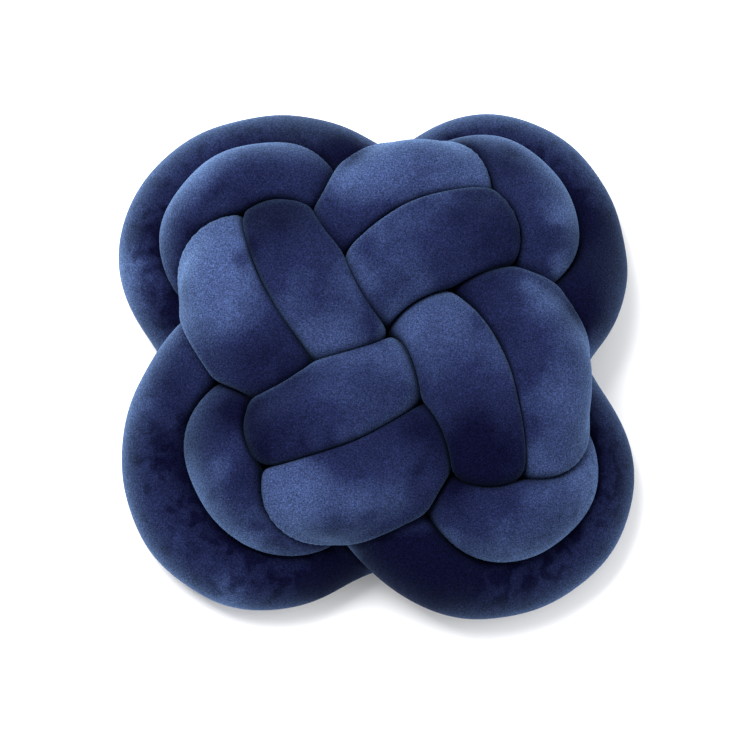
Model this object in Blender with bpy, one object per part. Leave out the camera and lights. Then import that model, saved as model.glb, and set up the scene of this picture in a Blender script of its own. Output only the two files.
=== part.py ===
"""Knot cushion: two stuffed plush tubes laid side by side and woven into one four-lobed knot.

Each tube is one long closed ring. Both follow the same route: round a lobe low down, up over the
middle as one of a pair, down under the next pair, up over the end of the lobe beside it and into
the lobe after that. Four such turns close the ring. Where tubes press on each other each section
is cut back to half the way to its neighbour, and where it is free it stays round.
"""
import bmesh
import bpy
import numpy as np

MM = 0.001

# Driving dimensions
TUBE_RADIUS = 38.0 * MM
FULLEST_RADIUS = 44.0 * MM
SLIMMEST_RADIUS = 34.0 * MM
PRESSED_GAP = 4.5 * MM
THINNEST_RAY = 4.0 * MM
LINE_SETTLING = 12.0 * MM
SHOULDER_POWER = 9.0
SWELL = 0.24
SWELL_FROM = 85.0 * MM
SWELL_RISE = 20.0 * MM
CORNER_REACH = 1.6
SWELL_EVENING_ALONG = 4
SWELL_EVENING_ROUND = 1
SPAN_POWER = 0.75
CENTRE_X = -2.3 * MM
CENTRE_Y = -1.3 * MM
QUARTER_TURNS = (0, -1, -2, -3)

# Mesh and solving
SIDES = 20
OUTER_STATIONS = 244
INNER_STATIONS = 200
DENSE_PER_SPAN = 40
FINENESS = 3
SETTLING_ALONG = 1
SETTLING_ROUND = 1
FEELER_STEP = 4.0 * MM
FEELER_NEAREST = 9.0 * MM
FEELER_FARTHEST = 120.0 * MM
RADIUS_SMOOTHING = 6
BISECTIONS = 25

LEAST_FACING = 1e-6

PLUSH_NAVY = (0.036, 0.050, 0.165, 1.0)
PLUSH_ROUGHNESS = 0.9

# One quarter of each route, from the tip of the upper right lobe, over the left pair, to the tip of
# the lower right lobe. Columns: x, y and height of the tube's middle in mm, then how much of the
# shift of the lobe being left, of the lobe being entered and of the pair between them it takes.
ROUTE_COLUMNS = ("x", "y", "height", "leaving", "entering", "pair")
OUTER_ROUTE = (
    (161, 160, 36, 1.0, 0.0, 0.0),
    (128, 180, 36, 1.0, 0.0, 0.0),
    (90, 185, 36, 1.0, 0.0, 0.0),
    (52, 166, 35, 0.7, 0.0, 0.0),
    (13, 145, 33, 0.2, 0.0, 0.0),
    (-27, 148, 33, 0.0, 0.0, 0.2),
    (-63, 145, 33, 0.0, 0.0, 0.4),
    (-91, 133, 38, 0.0, 0.0, 0.7),
    (-108, 118, 57, 0.0, 0.0, 1.0),
    (-118, 97, 82, 0.0, 0.0, 1.0),
    (-127, 75, 101, 0.0, 0.0, 1.0),
    (-134, 52, 109, 0.0, 0.0, 1.0),
    (-136, 30, 114, 0.0, 0.0, 1.0),
    (-132, 10, 113, 0.0, 0.0, 1.0),
    (-121, -10, 107, 0.0, 0.0, 1.0),
    (-107, -30, 101, 0.0, 0.0, 0.9),
    (-84, -53, 84, 0.0, 0.0, 0.6),
    (-58, -82, 63, 0.0, 0.0, 0.3),
    (-26, -112, 70, 0.0, 0.1, 0.0),
    (6, -143, 77, 0.0, 0.3, 0.0),
    (36, -165, 71, 0.0, 0.6, 0.0),
    (61, -181, 53, 0.0, 0.9, 0.0),
    (92, -186, 39, 0.0, 1.0, 0.0),
    (129, -179, 36, 0.0, 1.0, 0.0),
)
INNER_ROUTE = (
    (129, 131, 89, 1.0, 0.0, 0.0),
    (95, 149, 68, 1.0, 0.0, 0.0),
    (64, 139, 49, 1.0, 0.0, 0.0),
    (37, 122, 39, 0.6, 0.0, 0.0),
    (9, 113, 34, 0.2, 0.0, 0.0),
    (-22, 111, 33, 0.0, 0.0, 0.2),
    (-50, 113, 36, 0.0, 0.0, 0.4),
    (-74, 113, 56, 0.0, 0.0, 0.7),
    (-88, 103, 90, 0.0, 0.0, 1.0),
    (-91, 84, 110, 0.0, 0.0, 1.0),
    (-84, 62, 115, 0.0, 0.0, 1.0),
    (-71, 37, 113, 0.0, 0.0, 1.0),
    (-55, 12, 106, 0.0, 0.0, 1.0),
    (-38, -11, 86, 0.0, 0.0, 0.8),
    (-20, -32, 61, 0.0, 0.0, 0.4),
    (-2, -54, 44, 0.0, 0.0, 0.2),
    (18, -78, 50, 0.0, 0.0, 0.0),
    (35, -102, 57, 0.0, 0.0, 0.0),
    (54, -123, 75, 0.0, 0.2, 0.0),
    (75, -138, 89, 0.0, 0.7, 0.0),
    (102, -144, 94, 0.0, 1.0, 0.0),
)

# Hand weaving leaves the four quarters a little uneven. Columns: the lobe or pair, then the shift
# in x and y, in mm, of the outer tube there and of the inner tube there.
UNEVEN_COLUMNS = ("where", "outer x", "outer y", "inner x", "inner y")
LOBE_SHIFTS = (
    ("upper right", -10, 5, -14, 6),
    ("lower right", -2, -1, 4, -4),
    ("lower left", 3, 2, 20, 3),
    ("upper left", -4, -4, 2, -8),
)
PAIR_SHIFTS = (
    ("left", 4, 0, 4, 0),
    ("top", 0, 1, 0, 4),
    ("right", 6, -4, 9, -4),
    ("bottom", 0, -2, 0, 4),
)

# Where a stretch of one tube has been pushed aside while weaving. Columns: the tube, the quarter,
# the route row in the middle of the stretch, how many rows it fades over, then the push in x, in y
# and in height, in mm.
PUSHES = (
    ("outer", 0, 3.5, 1.5, 3, -6, 0),
    ("outer", 0, 8.5, 1.5, 0, 2, -3),
    ("outer", 0, 15.0, 2.5, 10, 6, 0),
    ("outer", 0, 20.0, 1.5, -2, -5, 0),
    ("outer", 1, 4.5, 1.5, -6, 0, 0),
    ("outer", 1, 9.0, 2.0, -3, 0, -2),
    ("outer", 1, 12.5, 3.0, 0, 3, -5),
    ("outer", 1, 15.5, 2.0, 5, -8, 0),
    ("outer", 1, 20.0, 1.5, 2, 0, 0),
    ("outer", 2, 4.5, 1.5, 0, 4, 0),
    ("outer", 2, 8.5, 1.5, 2, -11, 6),
    ("outer", 2, 12.0, 2.0, 3, 0, 0),
    ("outer", 2, 20.0, 1.5, 0, -3, 0),
    ("outer", 2, 22.5, 1.5, 0, 3, 0),
    ("outer", 3, 4.5, 1.5, 3, 0, 0),
    ("outer", 3, 9.0, 1.5, -2, 3, -5),
    ("outer", 3, 20.0, 1.5, 3, 0, 0),
    ("inner", 0, 8.0, 1.5, -5, -3, 3),
    ("inner", 0, 12.0, 2.5, 8, 4, 0),
    ("inner", 0, 19.0, 2.0, 0, -3, 0),
    ("inner", 1, 0.5, 1.5, 0, -1, -7),
    ("inner", 1, 8.0, 2.0, 4, -6, 0),
    ("inner", 1, 12.0, 3.0, 0, 8, 3),
    ("inner", 1, 20.0, 1.5, 3, 0, 0),
    ("inner", 2, 8.0, 2.0, -2, -14, 0),
    ("inner", 2, 11.0, 2.5, -3, 0, 0),
    ("inner", 2, 13.0, 2.5, 7, 8, 0),
    ("inner", 2, 17.5, 1.5, 18, 0, 0),
    ("inner", 3, 0.0, 2.0, -5, 4, 0),
    ("inner", 3, 8.0, 2.0, 6, -7, 4),
    ("inner", 3, 11.0, 2.0, 0, 3, 0),
    ("inner", 3, 14.0, 2.0, -2, 1, 0),
)


def clear_scene():
    """Remove whatever the scene starts with."""
    for item in list(bpy.data.objects):
        bpy.data.objects.remove(item, do_unlink=True)


def route_column(rows, name):
    """One named column of a route table, kept as a column."""
    place = ROUTE_COLUMNS.index(name)
    return rows[:, place:place + 1]


def shift_of(row, tube):
    """The x and y shift of the outer or the inner tube in a row of an unevenness table."""
    first = UNEVEN_COLUMNS.index(tube + " x")
    return np.array(row[first:first + 2], dtype=float)


def pushed_aside(route, tube):
    """Add the tube's own pushes to its route, each fading out along the rows on both sides."""
    rows = len(route) // len(QUARTER_TURNS)
    for owner, quarter, row, fade, x, y, height in PUSHES:
        if owner == tube:
            away = np.arange(len(route)) - (quarter * rows + row)
            away = (away + len(route) / 2.0) % len(route) - len(route) / 2.0
            route = route + np.exp(-((away / fade) ** 2))[:, None] * np.array([x, y, height])
    return route


def route_points(table, tube):
    """Turn the quarter table through the four quarters, with each quarter's own unevenness."""
    rows = np.array(table, dtype=float)
    across = route_column(rows, "x")
    up = route_column(rows, "y")
    points = []
    for quarter, turn in enumerate(QUARTER_TURNS):
        angle = turn * np.pi / 2.0
        cosine = np.round(np.cos(angle))
        sine = np.round(np.sin(angle))
        leaving = shift_of(LOBE_SHIFTS[quarter], tube)
        entering = shift_of(LOBE_SHIFTS[(quarter + 1) % 4], tube)
        pair = shift_of(PAIR_SHIFTS[quarter], tube)
        plan = np.hstack([across * cosine - up * sine, across * sine + up * cosine])
        plan = plan + route_column(rows, "leaving") * leaving
        plan = plan + route_column(rows, "entering") * entering
        plan = plan + route_column(rows, "pair") * pair
        points.append(np.hstack([plan, route_column(rows, "height")]))
    route = pushed_aside(np.vstack(points), tube) * MM
    route[:, 0] -= CENTRE_X
    route[:, 1] -= CENTRE_Y
    return route


def smooth_loop(points):
    """Dense points on a closed cubic spline through the given points, bending evenly throughout."""
    count = len(points)
    following = np.roll(points, -1, axis=0)
    spans = np.linalg.norm(following - points, axis=1) ** SPAN_POWER
    system = np.zeros((count, count))
    target = np.zeros((count, 3))
    for index in range(count):
        before = spans[index - 1]
        after = spans[index]
        ahead = (index + 1) % count
        system[index, index - 1] += before
        system[index, index] += 2.0 * (before + after)
        system[index, ahead] += after
        rise = (points[ahead] - points[index]) / after
        fall = (points[index] - points[index - 1]) / before
        target[index] = 6.0 * (rise - fall)
    bends = np.linalg.solve(system, target)
    along = np.linspace(0.0, 1.0, DENSE_PER_SPAN, endpoint=False)[:, None]
    back = 1.0 - along
    pieces = []
    for index in range(count):
        ahead = (index + 1) % count
        pull = (back ** 3 - back) * bends[index] + (along ** 3 - along) * bends[ahead]
        straight = back * points[index] + along * points[ahead]
        pieces.append(straight + pull * spans[index] ** 2 / 6.0)
    return np.vstack(pieces)


def even_stations(dense, count):
    """Pick `count` points at equal steps along a dense closed line."""
    closed = np.vstack([dense, dense[:1]])
    steps = np.linalg.norm(np.diff(closed, axis=0), axis=1)
    travelled = np.concatenate([[0.0], np.cumsum(steps)])
    wanted = np.linspace(0.0, travelled[-1], count, endpoint=False)
    return np.stack([np.interp(wanted, travelled, closed[:, axis]) for axis in range(3)], axis=1)


def loop_length(dense):
    """Length of a dense closed line."""
    return float(np.linalg.norm(np.roll(dense, -1, axis=0) - dense, axis=1).sum())


def middle_line(table, tube):
    """Middle line of a tube, evened over LINE_SETTLING because a stuffed tube takes no sharp turn."""
    dense = smooth_loop(route_points(table, tube))
    line = even_stations(dense, round(loop_length(dense) / FEELER_STEP))
    for _ in range(round(2.0 * (LINE_SETTLING / FEELER_STEP) ** 2)):
        line = (np.roll(line, 1, axis=0) + 2.0 * line + np.roll(line, -1, axis=0)) / 4.0
    return line


def section_axes(middle):
    """Level sideways and upward unit vectors square to a closed line at each station."""
    along = np.roll(middle, -1, axis=0) - np.roll(middle, 1, axis=0)
    along /= np.linalg.norm(along, axis=1, keepdims=True)
    side = np.stack([along[:, 1], -along[:, 0], np.zeros(len(along))], axis=1)
    side /= np.linalg.norm(side, axis=1, keepdims=True)
    return side, np.cross(side, along)


def pressed_limits(middle, rays, feelers):
    """How far each ray runs before it is as near to another stretch of tube as to its own."""
    limits = np.full(rays.shape[:2], FEELER_FARTHEST)
    for index in range(len(middle)):
        offsets = feelers - middle[index]
        squares = (offsets ** 2).sum(axis=1)
        near = (squares > FEELER_NEAREST ** 2) & (squares < FEELER_FARTHEST ** 2)
        facing = rays[index] @ offsets[near].T
        halfway = squares[near] / (2.0 * np.maximum(facing, LEAST_FACING))
        reach = np.where(facing > LEAST_FACING, halfway, FEELER_FARTHEST)
        limits[index] = reach.min(axis=1)
    return np.maximum(limits - PRESSED_GAP / 2.0, THINNEST_RAY)


def evened(values, along, around):
    """Even out values on a closed grid of stations by rays, each pass with the nearest ones."""
    for axis, passes in ((0, along), (1, around)):
        for _ in range(passes):
            before = np.roll(values, 1, axis=axis)
            after = np.roll(values, -1, axis=axis)
            values = (before + 2.0 * values + after) / 4.0
    return values


def settled(limits):
    """Even out finely felt limits, then keep every FINENESS-th."""
    return evened(limits, SETTLING_ALONG, SETTLING_ROUND)[::FINENESS, ::FINENESS]


def floor_limits(middle, rays):
    """How far each ray runs before it meets the surface the cushion lies on."""
    falling = -rays[:, :, 2]
    reach = middle[:, 2:3] / np.maximum(falling, LEAST_FACING)
    return np.where(falling > LEAST_FACING, reach, FEELER_FARTHEST)


def swelling(middle):
    """Share by which each section fills out beside a neighbour, growing with its height."""
    return SWELL * np.clip((middle[:, 2:3] - SWELL_FROM) / SWELL_RISE, 0.0, 1.0)


def section_reach(radii, pressed, floor, swell):
    """Round reach of each ray, filled out beside a neighbour, eased into the pressed limit and cut
    off flat at the floor."""
    free = radii[:, None]
    beside = np.clip((CORNER_REACH * free - pressed) / ((CORNER_REACH - 1.0) * free), 0.0, 1.0)
    beside = evened(beside, SWELL_EVENING_ALONG, SWELL_EVENING_ROUND)
    full = free * (1.0 + swell * beside)
    eased = (full ** -SHOULDER_POWER + pressed ** -SHOULDER_POWER) ** (-1.0 / SHOULDER_POWER)
    return np.minimum(eased, floor)


def girth(reach, turns):
    """Distance round each section."""
    across = reach * np.cos(turns)
    upward = reach * np.sin(turns)
    return np.hypot(across - np.roll(across, 1, axis=1), upward - np.roll(upward, 1, axis=1)).sum(axis=1)


def filled_radii(pressed, floor, swell, turns):
    """Radius of each section's free part that keeps the cover's girth, smoothed along the tube."""
    low = np.full(len(pressed), SLIMMEST_RADIUS)
    high = np.full(len(pressed), FULLEST_RADIUS)
    wanted = 2.0 * np.pi * TUBE_RADIUS
    for _ in range(BISECTIONS):
        trial = (low + high) / 2.0
        slack = girth(section_reach(trial, pressed, floor, swell), turns) < wanted
        low = np.where(slack, trial, low)
        high = np.where(slack, high, trial)
    radii = (low + high) / 2.0
    for _ in range(RADIUS_SMOOTHING):
        radii = (np.roll(radii, 1) + 2.0 * radii + np.roll(radii, -1)) / 4.0
    return radii


def section_rays(middle, turns):
    """Unit rays square to the line, at each given turn from level sideways."""
    side, upward = section_axes(middle)
    across = np.cos(turns)[None, :, None] * side[:, None, :]
    return across + np.sin(turns)[None, :, None] * upward[:, None, :]


def tube_skin(line, stations, feelers):
    """Surface points of one tube, a ring of SIDES points for each station."""
    fine_middle = even_stations(line, stations * FINENESS)
    fine_turns = np.linspace(0.0, 2.0 * np.pi, SIDES * FINENESS, endpoint=False)
    fine_rays = section_rays(fine_middle, fine_turns)
    pressed = settled(pressed_limits(fine_middle, fine_rays, feelers))
    middle = fine_middle[::FINENESS]
    turns = fine_turns[::FINENESS]
    rays = fine_rays[::FINENESS, ::FINENESS]
    floor = floor_limits(middle, rays)
    swell = swelling(middle)
    radii = filled_radii(pressed, floor, swell, turns)
    reach = section_reach(radii, pressed, floor, swell)
    return middle[:, None, :] + reach[:, :, None] * rays


def plush_material(name):
    """Matt navy plush."""
    material = bpy.data.materials.new(name)
    material.use_nodes = True
    shader = material.node_tree.nodes["Principled BSDF"]
    shader.inputs["Base Color"].default_value = PLUSH_NAVY
    shader.inputs["Roughness"].default_value = PLUSH_ROUGHNESS
    return material


def split_square(body, here, there, there_beside, here_beside):
    """Lay two triangles over four corners, along the shorter of the two diagonals."""
    if (here.co - there_beside.co).length < (there.co - here_beside.co).length:
        body.faces.new((here, there, there_beside))
        body.faces.new((here, there_beside, here_beside))
    else:
        body.faces.new((here, there, here_beside))
        body.faces.new((there, there_beside, here_beside))


def add_tube(name, skin):
    """Make one closed tube object from its rings of surface points."""
    stations = len(skin)
    body = bmesh.new()
    corners = [body.verts.new(point) for point in skin.reshape(-1, 3)]
    for station in range(stations):
        ahead = (station + 1) % stations
        for ray in range(SIDES):
            beside = (ray + 1) % SIDES
            here = corners[station * SIDES + ray]
            there = corners[ahead * SIDES + ray]
            there_beside = corners[ahead * SIDES + beside]
            here_beside = corners[station * SIDES + beside]
            split_square(body, here, there, there_beside, here_beside)
    bmesh.ops.recalc_face_normals(body, faces=body.faces)
    mesh = bpy.data.meshes.new(name)
    body.to_mesh(mesh)
    body.free()
    mesh.materials.append(plush_material(name + "_plush"))
    tube = bpy.data.objects.new(name, mesh)
    bpy.context.scene.collection.objects.link(tube)
    return tube


def main():
    """Lay both routes, feel where they press on each other and skin them."""
    clear_scene()
    outer_line = middle_line(OUTER_ROUTE, "outer")
    inner_line = middle_line(INNER_ROUTE, "inner")
    outer_feelers = even_stations(outer_line, int(loop_length(outer_line) / FEELER_STEP))
    inner_feelers = even_stations(inner_line, int(loop_length(inner_line) / FEELER_STEP))
    feelers = np.vstack([outer_feelers, inner_feelers])
    add_tube("outer_tube", tube_skin(outer_line, OUTER_STATIONS, feelers))
    add_tube("inner_tube", tube_skin(inner_line, INNER_STATIONS, feelers))


main()
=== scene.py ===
"""Knot cushion: two stuffed plush tubes woven into a four-lobed knot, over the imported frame.

Both tubes are long closed rings that follow the same route side by side: round a lobe low down, up
over the middle as one of a pair, down under the next pair, up over the end of the lobe beside it
and into the lobe after that. The skin of each tube is worked out from its middle line: a section is
round where it is free, flat where it presses on its neighbour and flat where it lies on the floor.
"""
import logging
from dataclasses import dataclass
from enum import Enum

import bpy
import numpy as np
from mathutils import Matrix, Vector


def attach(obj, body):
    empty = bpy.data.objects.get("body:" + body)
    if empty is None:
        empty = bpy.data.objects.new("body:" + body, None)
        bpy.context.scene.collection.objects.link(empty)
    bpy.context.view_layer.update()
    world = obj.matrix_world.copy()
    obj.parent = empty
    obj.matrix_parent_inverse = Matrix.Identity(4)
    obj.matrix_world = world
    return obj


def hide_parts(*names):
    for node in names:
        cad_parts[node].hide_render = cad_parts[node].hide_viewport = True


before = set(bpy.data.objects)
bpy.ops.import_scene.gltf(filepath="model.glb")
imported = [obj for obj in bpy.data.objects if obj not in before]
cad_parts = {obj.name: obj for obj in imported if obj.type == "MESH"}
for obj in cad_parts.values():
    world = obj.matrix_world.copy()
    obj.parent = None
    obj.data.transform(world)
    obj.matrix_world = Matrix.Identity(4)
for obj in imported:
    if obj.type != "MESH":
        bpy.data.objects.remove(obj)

LOG = logging.getLogger("knot_cushion")
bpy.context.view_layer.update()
MM = 0.001

# So small that it only keeps a division from being one by nothing.
TINY = 1e-9

# The cushion's own middle in the route's coordinates, so that the frame's origin is under its
# centre.
CENTRE = np.array([-2.3, -1.3, 0.0]) * MM
QUARTER_TURNS = (0, -1, -2, -3)

# A stuffed tube takes no sharp turn, so its middle line is evened with this standard deviation.
LINE_SETTLING = 30.0 * MM

# One quarter of each route, from the tip of the upper right lobe, over the left pair, to the tip of
# the lower right lobe. Columns: x, y and height of the tube's middle in mm, then how much of the
# shift of the lobe being left, of the lobe being entered and of the pair between them it takes.
OUTER_ROUTE = (
    (161, 160, 36, 1.0, 0.0, 0.0),
    (128, 180, 36, 1.0, 0.0, 0.0),
    (90, 185, 36, 1.0, 0.0, 0.0),
    (52, 166, 35, 0.7, 0.0, 0.0),
    (13, 145, 33, 0.2, 0.0, 0.0),
    (-27, 148, 33, 0.0, 0.0, 0.2),
    (-63, 145, 33, 0.0, 0.0, 0.4),
    (-91, 133, 38, 0.0, 0.0, 0.7),
    (-108, 118, 57, 0.0, 0.0, 1.0),
    (-118, 97, 82, 0.0, 0.0, 1.0),
    (-127, 75, 101, 0.0, 0.0, 1.0),
    (-134, 52, 109, 0.0, 0.0, 1.0),
    (-136, 30, 114, 0.0, 0.0, 1.0),
    (-132, 10, 113, 0.0, 0.0, 1.0),
    (-121, -10, 107, 0.0, 0.0, 1.0),
    (-107, -30, 101, 0.0, 0.0, 0.9),
    (-84, -53, 84, 0.0, 0.0, 0.6),
    (-58, -82, 63, 0.0, 0.0, 0.3),
    (-26, -112, 70, 0.0, 0.1, 0.0),
    (6, -143, 77, 0.0, 0.3, 0.0),
    (36, -165, 71, 0.0, 0.6, 0.0),
    (61, -181, 53, 0.0, 0.9, 0.0),
    (92, -186, 39, 0.0, 1.0, 0.0),
    (129, -179, 36, 0.0, 1.0, 0.0),
)
INNER_ROUTE = (
    (129, 131, 89, 1.0, 0.0, 0.0),
    (95, 149, 68, 1.0, 0.0, 0.0),
    (64, 139, 49, 1.0, 0.0, 0.0),
    (37, 122, 39, 0.6, 0.0, 0.0),
    (9, 113, 34, 0.2, 0.0, 0.0),
    (-22, 111, 33, 0.0, 0.0, 0.2),
    (-50, 113, 36, 0.0, 0.0, 0.4),
    (-74, 113, 56, 0.0, 0.0, 0.7),
    (-88, 103, 90, 0.0, 0.0, 1.0),
    (-91, 84, 110, 0.0, 0.0, 1.0),
    (-84, 62, 115, 0.0, 0.0, 1.0),
    (-71, 37, 113, 0.0, 0.0, 1.0),
    (-55, 12, 106, 0.0, 0.0, 1.0),
    (-38, -11, 86, 0.0, 0.0, 0.8),
    (-20, -32, 61, 0.0, 0.0, 0.4),
    (-2, -54, 44, 0.0, 0.0, 0.2),
    (18, -78, 50, 0.0, 0.0, 0.0),
    (35, -102, 57, 0.0, 0.0, 0.0),
    (54, -123, 75, 0.0, 0.2, 0.0),
    (75, -138, 89, 0.0, 0.7, 0.0),
    (102, -144, 94, 0.0, 1.0, 0.0),
)

# Hand weaving leaves the four quarters a little uneven. Columns: the lobe or pair, then the shift
# in x and y, in mm, of the outer tube there and of the inner tube there.
LOBE_SHIFTS = (
    ("upper right", -10, 5, -14, 6),
    ("lower right", -2, -1, 4, -4),
    ("lower left", 3, 2, 20, 3),
    ("upper left", -4, -4, 2, -8),
)
PAIR_SHIFTS = (
    ("left", 4, 0, 4, 0),
    ("top", 0, 1, 0, 4),
    ("right", 6, -4, 9, -4),
    ("bottom", 0, -2, 0, 4),
)


class TubeKind(Enum):
    """Which of the two tubes a piece is. Its value is its place where both tubes have a number."""

    OUTER = 0
    INNER = 1


ROUTES = {TubeKind.OUTER: OUTER_ROUTE, TubeKind.INNER: INNER_ROUTE}

# Where a stretch of one tube has been pushed aside while weaving. Columns: the quarter, the route
# row in the middle of the stretch, how many rows it fades over, and the push in x, y and z in mm.
PUSHES = {
    TubeKind.OUTER: (
        (0, 3.5, 1.5, 3, -6, 0),
        (0, 8.5, 1.5, 0, 2, -3),
        (0, 15.0, 2.5, 10, 6, 0),
        (0, 20.0, 1.5, -2, -5, 0),
        (1, 4.5, 1.5, -6, 0, 0),
        (1, 9.0, 2.0, -3, 0, -2),
        (1, 12.5, 3.0, 0, 3, -5),
        (1, 15.5, 2.0, 5, -8, 0),
        (1, 20.0, 1.5, 2, 0, 0),
        (2, 4.5, 1.5, 0, 4, 0),
        (2, 8.5, 1.5, 2, -11, 6),
        (2, 12.0, 2.0, 3, 0, 0),
        (2, 20.0, 1.5, 0, -3, 0),
        (2, 22.5, 1.5, 0, 3, 0),
        (3, 4.5, 1.5, 3, 0, 0),
        (3, 9.0, 1.5, -2, 3, -5),
        (3, 20.0, 1.5, 3, 0, 0),
    ),
    TubeKind.INNER: (
        (0, 8.0, 1.5, -5, -3, 3),
        (0, 12.0, 2.5, 8, 4, 0),
        (0, 19.0, 2.0, 0, -3, 0),
        (1, 0.5, 1.5, 0, -1, -7),
        (1, 8.0, 2.0, 4, -6, 0),
        (1, 12.0, 3.0, 0, 8, 3),
        (1, 20.0, 1.5, 3, 0, 0),
        (2, 8.0, 2.0, -2, -14, 0),
        (2, 11.0, 2.5, -3, 0, 0),
        (2, 13.0, 2.5, 7, 8, 0),
        (2, 17.5, 1.5, 18, 0, 0),
        (3, 0.0, 2.0, -5, 4, 0),
        (3, 8.0, 2.0, 6, -7, 4),
        (3, 11.0, 2.0, 0, 3, 0),
        (3, 14.0, 2.0, -2, 1, 0),
    ),
}

# Patches of painted light and shade on the pile: painted sheen where it is brushed to catch the
# light, painted shade where it is brushed the other way, painted shadow where a ring runs under a
# crossing strand and painted light on the outer edges. Columns: x and y on the cushion in mm, the
# patch's radius in mm, and how light it is.
PAINTED_NAP_PATCHES = {
    TubeKind.OUTER: (
        (-142, 38, 38, 0.9),
        (-174, 38, 18, -1.2),
        (-120, 5, 26, 0.3),
        (-98, -30, 20, -0.2),
        (-172, 108, 18, -0.5),
        (-117, 62, 10, -0.6),
        (-8, 152, 42, 0.9),
        (150, 24, 22, 0.9),
        (132, 46, 14, 0.6),
        (182, -5, 20, 0.5),
        (180, 26, 16, -1.3),
        (126, -45, 15, -0.5),
        (135, -89, 18, -0.4),
        (170, -60, 26, 0.4),
        (-48, -105, 18, -0.5),
        (-66, -158, 32, 0.8),
        (-12, -168, 26, 0.8),
        (-28, -118, 20, -0.2),
        (22, -155, 22, 0.6),
        (30, -118, 22, 0.3),
        (39, -96, 20, -0.3),
        (-198, 100, 25, -0.5),
        (-215, 80, 26, 1.0),
        (-57, 190, 28, -0.2),
        (-24, 172, 20, -1.8),
        (-24, 138, 16, 0.5),
        (192, 117, 45, -0.8),
        (170, 53, 30, -0.6),
        (213, -98, 40, -0.6),
        (109, -209, 40, -0.3),
        (24, -206, 36, -1.6),
        (-205, -48, 42, 0.8),
        (-178, -38, 18, -0.5),
        (-75, -185, 45, -0.6),
        (-24, -208, 32, -1.7),
        (-125, -212, 18, 0.6),
        (160, -168, 22, -0.4),
    ),
    TubeKind.INNER: (
        (-160, 96, 15, -0.9),
        (-83, 100, 25, -0.4),
        (-110, 72, 12, -0.6),
        (-42, 40, 24, -0.2),
        (-4, 6, 16, -0.5),
        (12, 38, 22, -0.4),
        (-6, 72, 14, -0.3),
        (76, 104, 18, -0.3),
        (60, 114, 14, 0.4),
        (22, 10, 12, 1.2),
        (92, 12, 16, -0.4),
        (26, -50, 16, -0.3),
        (82, -99, 40, -0.7),
        (2, -50, 26, -0.3),
        (-70, -42, 14, -0.4),
        (-74, -90, 30, -0.3),
        (-125, 125, 30, -0.6),
        (-150, 152, 24, 0.5),
        (-66, 165, 20, 0.3),
        (112, 154, 24, -0.8),
        (78, 178, 18, -1.0),
        (163, 108, 16, 1.0),
        (182, 104, 14, -0.8),
        (165, 62, 14, 1.1),
        (195, -108, 30, 1.5),
        (113, -150, 20, -0.3),
        (115, -175, 30, 0.3),
        (65, -136, 16, -0.4),
        (60, -180, 16, 0.7),
        (-166, -92, 20, -0.6),
        (-128, -120, 14, 0.6),
        (-114, -129, 20, -0.8),
        (-112, -184, 14, 0.8),
        (-122, -70, 20, -0.7),
    ),
}

# Small dents and creases left in the stuffing by the hands that wove it. Columns: x and y on the
# cushion in mm, the crease's direction in degrees, and its half length, half width and depth in mm.
CREASES = {
    TubeKind.OUTER: (
        (-195, 91, 8, 15, 4, 1.6),
        (-195, 76, 12, 15, 4, 1.6),
        (38, -124, 60, 12, 5, 1.4),
        (-6, -165, 20, 12, 5, 1.2),
    ),
    TubeKind.INNER: (
        (-140, -141, 60, 7, 5, 1.8),
        (-104, -167, 0, 10, 4, 1.4),
        (160, 96, 30, 8, 5, 1.4),
        (-39, -100, 100, 8, 4, 1.2),
        (-62, -106, 110, 8, 4, 1.0),
        (-139, 128, 40, 10, 4, 1.2),
        (120, 168, 150, 10, 5, 1.2),
    ),
}


def linear_colour(hex_code: str) -> tuple[float, float, float, float]:
    """Turn an sRGB hex colour into linear light.

    Args:
        hex_code: Six hexadecimal digits, such as "2b3570".

    Returns:
        Linear red, green and blue, with an alpha of one.
    """
    values = [int(hex_code[start:start + 2], 16) / 255.0 for start in (0, 2, 4)]
    linear = [v / 12.92 if v <= 0.04045 else ((v + 0.055) / 1.055) ** 2.4 for v in values]
    return (linear[0], linear[1], linear[2], 1.0)


def add_node(
    tree: bpy.types.NodeTree,
    kind: str,
    settings: dict[str, object] | None = None,
    inputs: dict[str | int, object] | None = None,
) -> bpy.types.Node:
    """Add one shader node with its settings, values and links.

    Args:
        tree: The node tree that takes the node.
        kind: Blender's name for the node type.
        settings: Properties of the node itself.
        inputs: A value or an output socket for each named or numbered input.

    Returns:
        The new node.
    """
    node = tree.nodes.new(kind)
    for name, value in (settings or {}).items():
        setattr(node, name, value)
    for key, value in (inputs or {}).items():
        if isinstance(value, bpy.types.NodeSocket):
            tree.links.new(value, node.inputs[key])
        else:
            node.inputs[key].default_value = value
    return node


def evened(values: np.ndarray, along: int, around: int) -> np.ndarray:
    """Even out a closed grid: each pass takes a quarter, a half and a quarter of neighbours.

    Args:
        values: Grid of stations by rays, with or without a last axis of coordinates.
        along: Passes along the tube.
        around: Passes round the tube.

    Returns:
        The evened grid.
    """
    for axis, passes in ((0, along), (1, around)):
        for _ in range(passes):
            before, after = np.roll(values, 1, axis=axis), np.roll(values, -1, axis=axis)
            values = (before + 2.0 * values + after) / 4.0
    return values


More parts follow.
